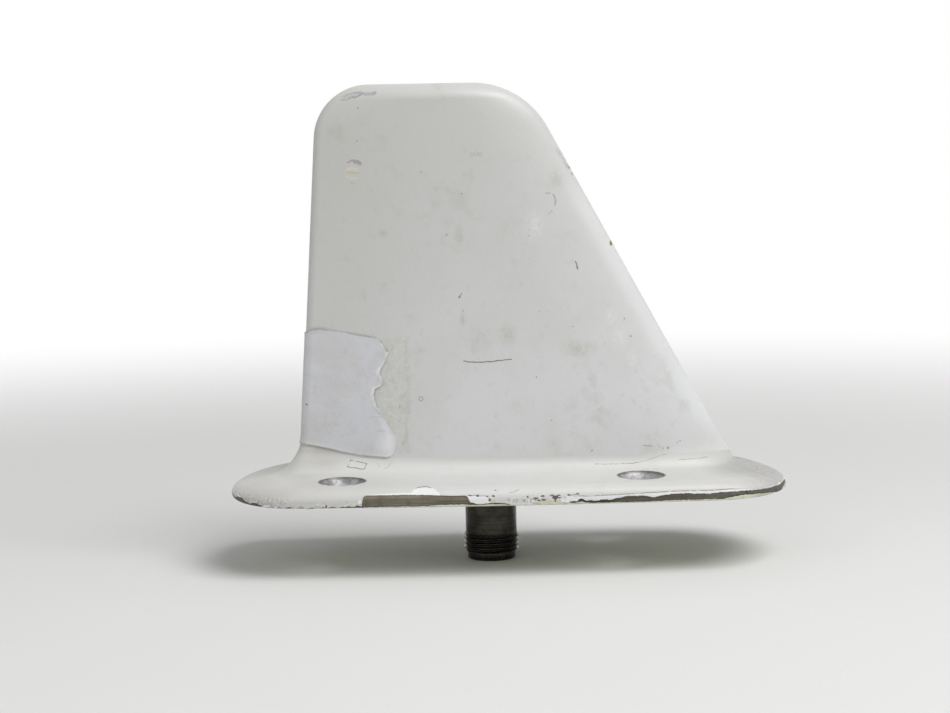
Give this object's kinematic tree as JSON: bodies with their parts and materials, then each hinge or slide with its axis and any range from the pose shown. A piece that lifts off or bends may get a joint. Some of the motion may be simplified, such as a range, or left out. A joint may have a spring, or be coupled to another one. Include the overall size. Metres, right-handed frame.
{
  "type": "aircraft blade antenna",
  "caption": "Swept aircraft blade antenna: hollow painted blade bonded to a feathered flange with countersunk screw holes, coaxial jack below, flange edge chipped to bare metal.",
  "frame": {"origin": "axis of the coaxial jack on the mounting face, which is also the centre of the screw pattern", "axes": "+X forward, towards the swept leading edge; +Y to the left of the aircraft; +Z out of the aircraft's skin, along the blade"},
  "size_m": [0.1117, 0.0458, 0.0956],
  "materials": {
    "painted_base": "chipped off-white paint on aluminium",
    "painted_blade": "aged off-white paint on glass-fibre laminate",
    "foam": "cast foam",
    "sheet_brass": "plain",
    "dark_nickel": "tarnished nickel plate",
    "insulator": "waxy white",
    "gilt_brass": "gold plate",
    "label_paper": "matt, torn"
  },
  "bodies": {
    "root": {"base_plate": "painted_base", "radome": "painted_blade", "foam_core": "foam", "radiator": "sheet_brass", "connector_shell": "dark_nickel", "front_insulator": "insulator", "rear_insulator": "insulator", "center_contact": "gilt_brass", "retaining_ring": "sheet_brass", "paper_label": "label_paper"}
  },
  "joints": []
}
